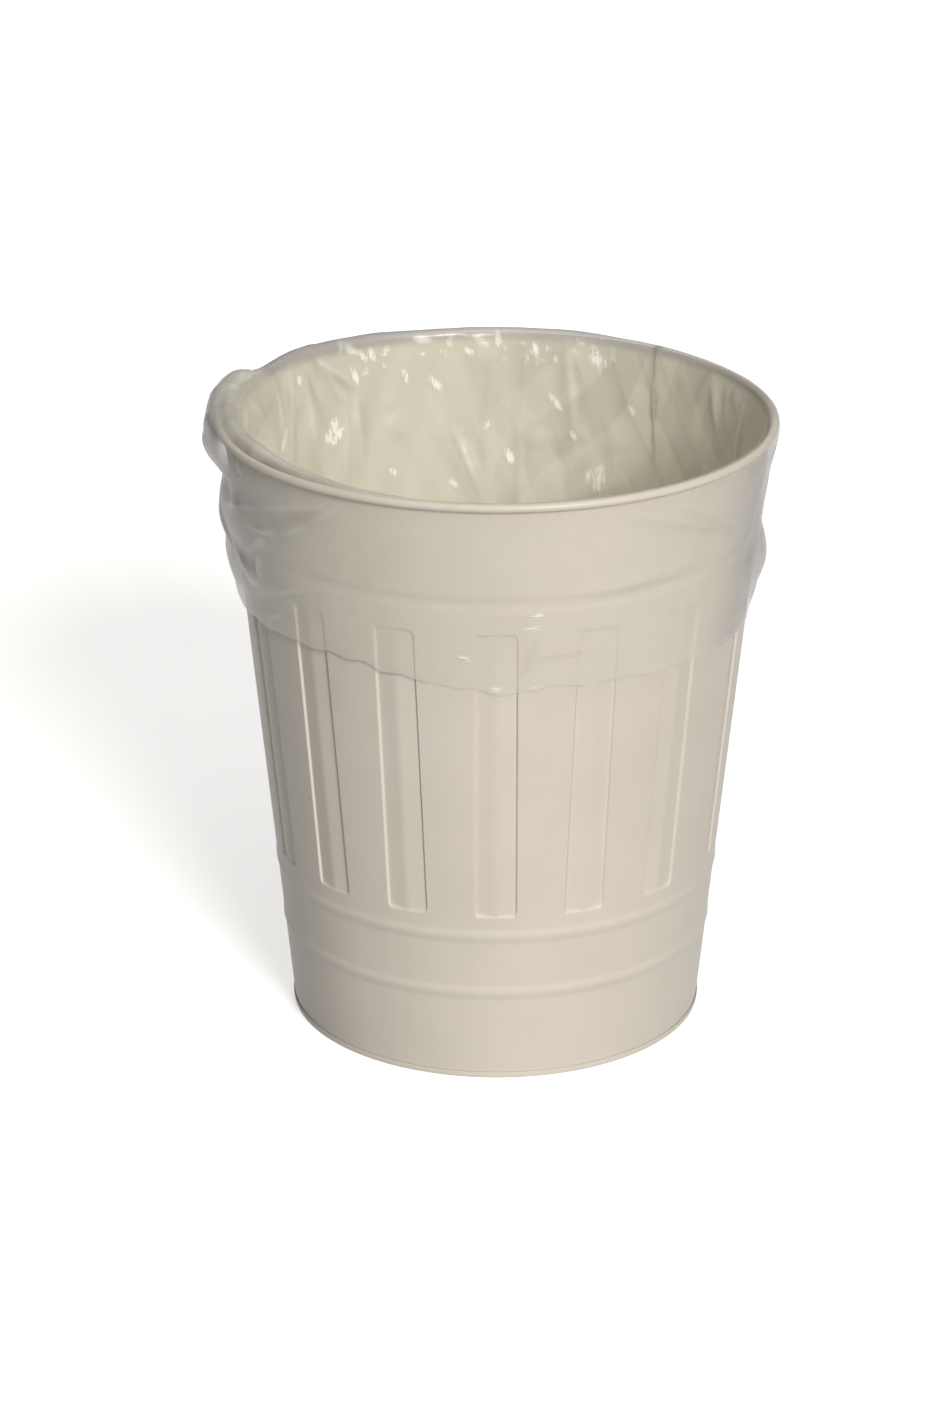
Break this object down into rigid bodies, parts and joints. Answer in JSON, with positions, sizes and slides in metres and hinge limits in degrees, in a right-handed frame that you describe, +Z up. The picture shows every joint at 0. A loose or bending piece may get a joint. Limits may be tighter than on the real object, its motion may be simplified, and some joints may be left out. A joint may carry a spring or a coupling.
{
  "type": "trash can",
  "caption": "Round tapered pressed-steel trash can with fluted wall, beads, wired rim and folded base, and a clear film liner bag whose cuff folds over the rim and lifts out.",
  "frame": {"origin": "centre of the foot ring, on the floor that the can stands on", "axes": "+Z up along the can's axis, -Y towards the front, where one flute is centred"},
  "size_m": [0.2672, 0.2672, 0.3007],
  "materials": {
    "cream_coat": "satin powder coat",
    "steel_wire": "drawn wire",
    "clear_film": "thin clear film, slightly milky"
  },
  "bodies": {
    "can": {"body_shell": "cream_coat", "rim_wire": "steel_wire", "base_pan": "cream_coat"},
    "liner": {"liner_bag": "clear_film"}
  },
  "joints": [
    {"name": "liner_lift", "type": "slide", "parent": "can", "child": "liner", "axis": [0, 0, 1], "range_m": [0, 0.32], "deforming": ["liner_bag"]}
  ]
}
